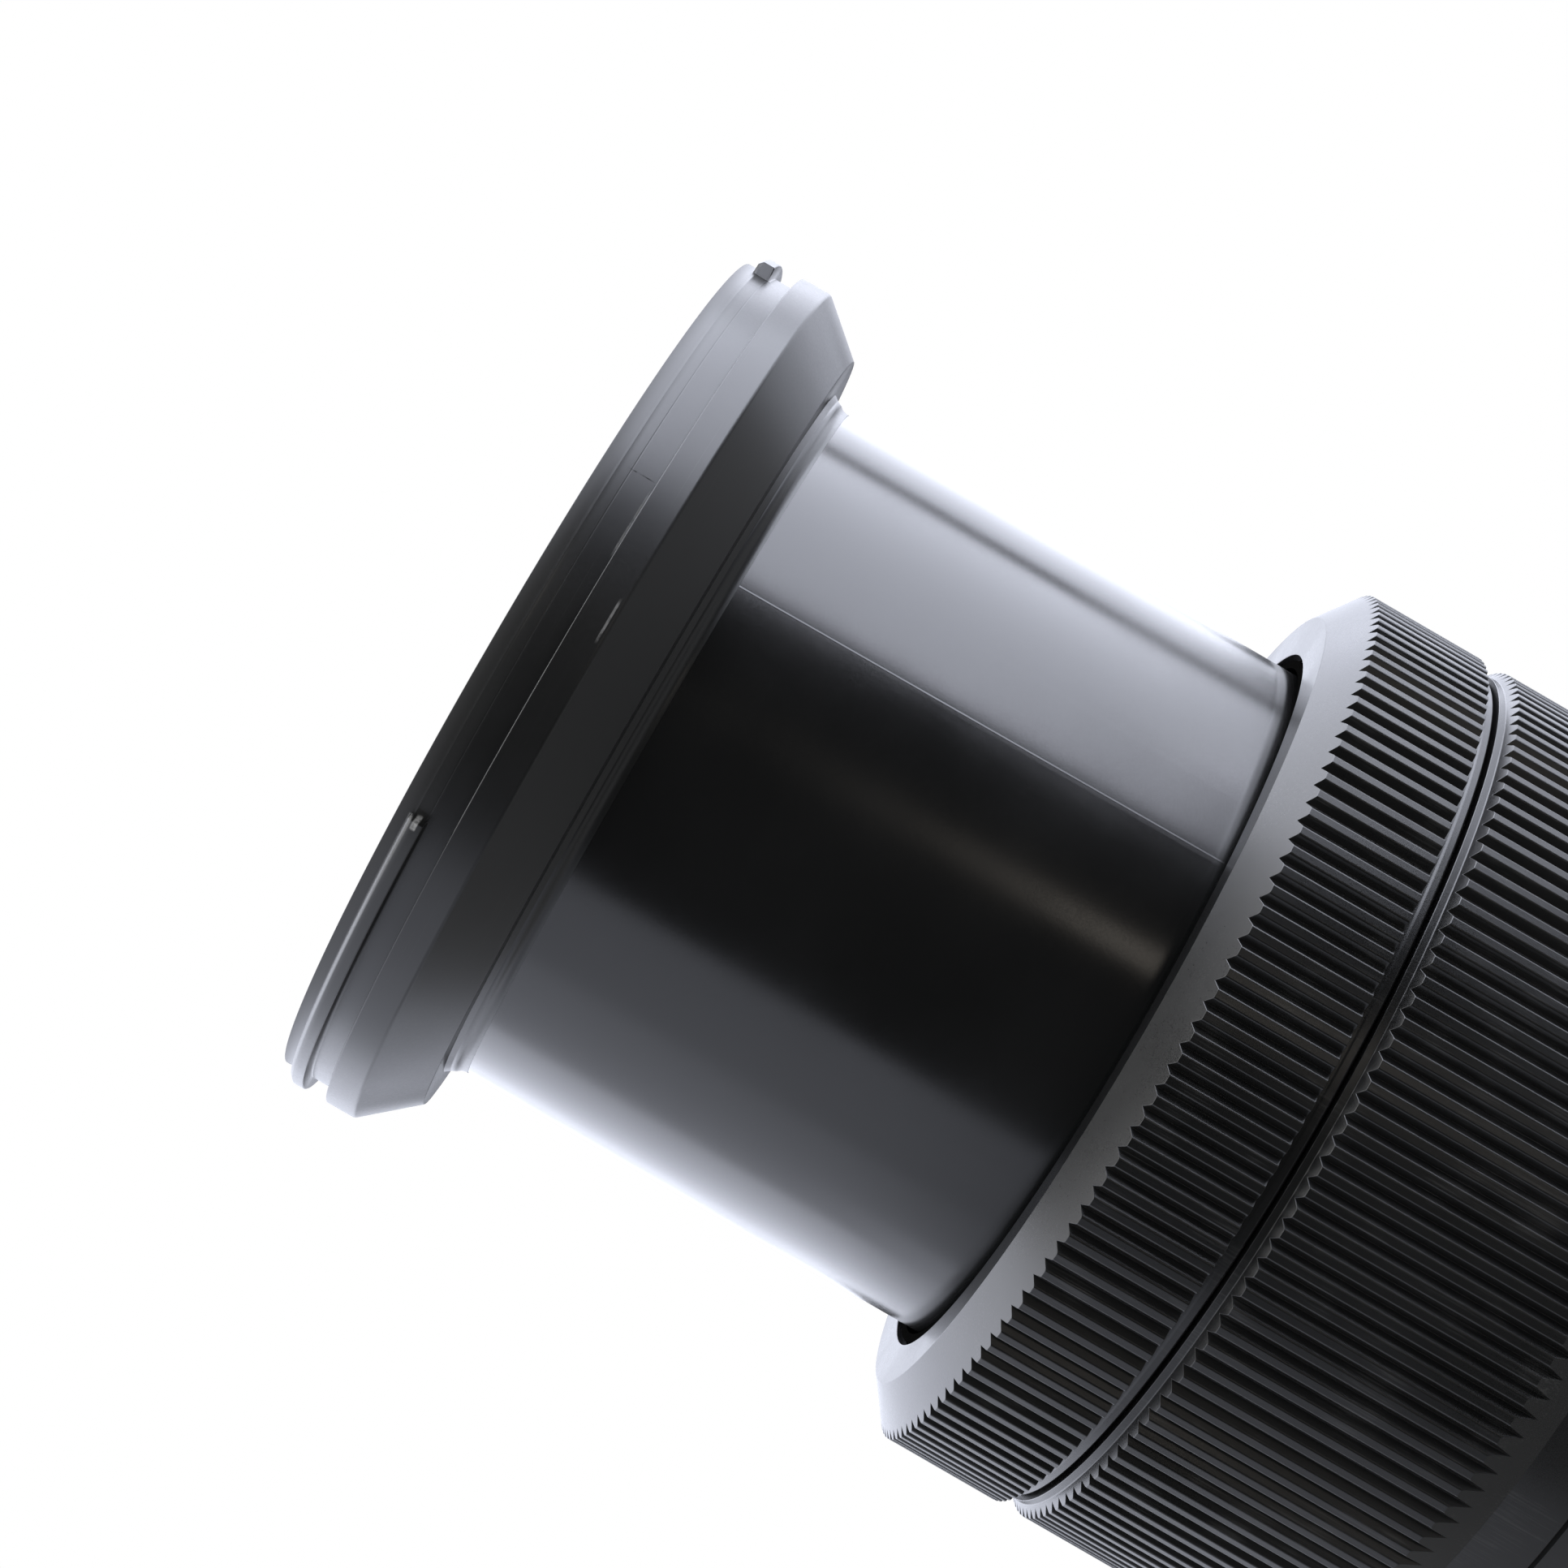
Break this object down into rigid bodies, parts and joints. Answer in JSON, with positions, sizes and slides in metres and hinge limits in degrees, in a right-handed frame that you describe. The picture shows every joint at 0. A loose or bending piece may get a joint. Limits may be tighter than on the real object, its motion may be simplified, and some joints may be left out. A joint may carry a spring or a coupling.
{
  "type": "standard zoom lens",
  "caption": "Black standard zoom lens drawn out to its long end, with ribbed zoom and focus rings, a front ring with hood lugs and a metal bayonet mount.",
  "frame": {"origin": "middle of the mount's flange face, on the optical axis", "axes": "+Z along the optical axis to the front, +X and +Y across it; the index dot of the mount is in the quarter between +X and -Y"},
  "size_m": [0.0616, 0.0616, 0.1103],
  "materials": {
    "grip_black": "ribbed, satin black",
    "barrel_black": "fine satin black",
    "tube_black": "smooth satin black",
    "inner_black": "matt black moulding",
    "anodised_black": "matt black anodised",
    "mount_metal": "turned and plated",
    "screw_steel": "bright",
    "screw_black": "blackened steel",
    "contact_gold": "gold plated",
    "seal_rubber": "matt",
    "index_white": "white bead",
    "lens_glass": "polished, coated",
    "board_green": "lacquered circuit board",
    "felt_black": "black flock",
    "roller_nylon": "natural nylon",
    "slide_brass": "machined",
    "blade_black": "dry black coating",
    "coil_copper": "lacquered copper wire",
    "yoke_nickel": "nickel plated"
  },
  "bodies": {
    "barrel": {"rear_barrel": "barrel_black", "mount_ring": "mount_metal", "mount_screws": "screw_steel", "mount_gasket": "seal_rubber", "contact_block": "inner_black", "contact_pins": "contact_gold", "rear_baffle": "inner_black", "index_dot": "index_white", "rear_lens_cell": "inner_black", "barrel_screws": "screw_steel", "rear_lens": "lens_glass", "rear_inner_lens": "lens_glass", "rear_lens_ring": "anodised_black", "main_board": "board_green", "guide_tube": "inner_black", "felt_ring": "felt_black", "front_collar": "inner_black", "focus_sleeve": "inner_black", "snap_ring": "screw_steel", "focus_sensor": "inner_black", "zoom_strip": "contact_gold"},
    "zoom_grip": {"zoom_ring": "grip_black", "zoom_keys": "slide_brass", "cam_barrel": "anodised_black", "zoom_brush": "contact_gold"},
    "focus_grip": {"focus_ring": "grip_black", "focus_comb": "inner_black"},
    "front_barrel": {"sliding_tube": "tube_black", "barrel_rollers": "roller_nylon", "barrel_roller_screws": "screw_steel", "front_ring": "barrel_black", "front_ring_screws": "screw_black", "front_lens_cell": "inner_black", "front_lens": "lens_glass", "front_lens_ring": "anodised_black", "front_inner_lens": "lens_glass", "front_inner_ring": "anodised_black", "front_bezel": "barrel_black"},
    "middle_group": {"group_carrier": "inner_black", "carrier_plate": "inner_black", "plate_screws": "screw_steel", "group_rollers": "roller_nylon", "group_roller_screws": "screw_steel", "middle_lens": "lens_glass", "middle_ring": "anodised_black", "iris_housing": "inner_black", "focus_rods": "screw_steel", "focus_yoke": "yoke_nickel", "focus_magnet": "yoke_nickel"},
    "focus_group": {"focus_holder": "inner_black", "focus_lens": "lens_glass", "focus_coil": "coil_copper"},
    "iris_ring": {"drive_ring": "inner_black"},
    "blade_1": {"iris_blade_1": "blade_black"},
    "blade_2": {"iris_blade_2": "blade_black"},
    "blade_3": {"iris_blade_3": "blade_black"},
    "blade_4": {"iris_blade_4": "blade_black"},
    "blade_5": {"iris_blade_5": "blade_black"},
    "blade_6": {"iris_blade_6": "blade_black"},
    "blade_7": {"iris_blade_7": "blade_black"}
  },
  "joints": [
    {"name": "zoom_turn", "type": "hinge", "parent": "barrel", "child": "zoom_grip", "pos_m": [0, 0, 0.0405], "axis": [0, 0, 1], "range_deg": [-65, 0]},
    {"name": "barrel_slide", "type": "slide", "parent": "barrel", "child": "front_barrel", "axis": [0, 0, 1], "range_m": [-0.0305, 0]},
    {"name": "group_slide", "type": "slide", "parent": "barrel", "child": "middle_group", "axis": [0, 0, 1], "range_m": [-0.012, 0]},
    {"name": "focus_turn", "type": "hinge", "parent": "barrel", "child": "focus_grip", "pos_m": [0, 0, 0.058], "axis": [0, 0, 1], "continuous": true},
    {"name": "focus_slide", "type": "slide", "parent": "middle_group", "child": "focus_group", "axis": [0, 0, 1], "range_m": [0, 0.006]},
    {"name": "iris_turn", "type": "hinge", "parent": "middle_group", "child": "iris_ring", "pos_m": [0, 0, 0.0492], "axis": [0, 0, 1], "range_deg": [0, 67.3]},
    {"name": "blade_1_turn", "type": "hinge", "parent": "middle_group", "child": "blade_1", "pos_m": [0.0126, 0, 0.0466], "axis": [0, 0, 1], "range_deg": [-0.1, 33.1]},
    {"name": "blade_2_turn", "type": "hinge", "parent": "middle_group", "child": "blade_2", "pos_m": [0.00786, 0.00985, 0.0466], "axis": [0, 0, 1], "range_deg": [-0.1, 33.1]},
    {"name": "blade_3_turn", "type": "hinge", "parent": "middle_group", "child": "blade_3", "pos_m": [-0.0028, 0.01228, 0.0466], "axis": [0, 0, 1], "range_deg": [-0.1, 33.1]},
    {"name": "blade_4_turn", "type": "hinge", "parent": "middle_group", "child": "blade_4", "pos_m": [-0.01135, 0.00547, 0.0466], "axis": [0, 0, 1], "range_deg": [-0.1, 33.1]},
    {"name": "blade_5_turn", "type": "hinge", "parent": "middle_group", "child": "blade_5", "pos_m": [-0.01135, -0.00547, 0.0466], "axis": [0, 0, 1], "range_deg": [-0.1, 33.1]},
    {"name": "blade_6_turn", "type": "hinge", "parent": "middle_group", "child": "blade_6", "pos_m": [-0.0028, -0.01228, 0.0466], "axis": [0, 0, 1], "range_deg": [-0.1, 33.1]},
    {"name": "blade_7_turn", "type": "hinge", "parent": "middle_group", "child": "blade_7", "pos_m": [0.00786, -0.00985, 0.0466], "axis": [0, 0, 1], "range_deg": [-0.1, 33.1]}
  ],
  "couplings": [
    {"joint": "barrel_slide", "follows": "zoom_turn", "m_per_rad": 0.026885},
    {"joint": "group_slide", "follows": "zoom_turn", "m_per_rad": 0.010578},
    {"joint": "blade_1_turn", "follows": "iris_turn", "ratio": 0.49033},
    {"joint": "blade_2_turn", "follows": "iris_turn", "ratio": 0.49033},
    {"joint": "blade_3_turn", "follows": "iris_turn", "ratio": 0.49033},
    {"joint": "blade_4_turn", "follows": "iris_turn", "ratio": 0.49033},
    {"joint": "blade_5_turn", "follows": "iris_turn", "ratio": 0.49033},
    {"joint": "blade_6_turn", "follows": "iris_turn", "ratio": 0.49033},
    {"joint": "blade_7_turn", "follows": "iris_turn", "ratio": 0.49033}
  ]
}
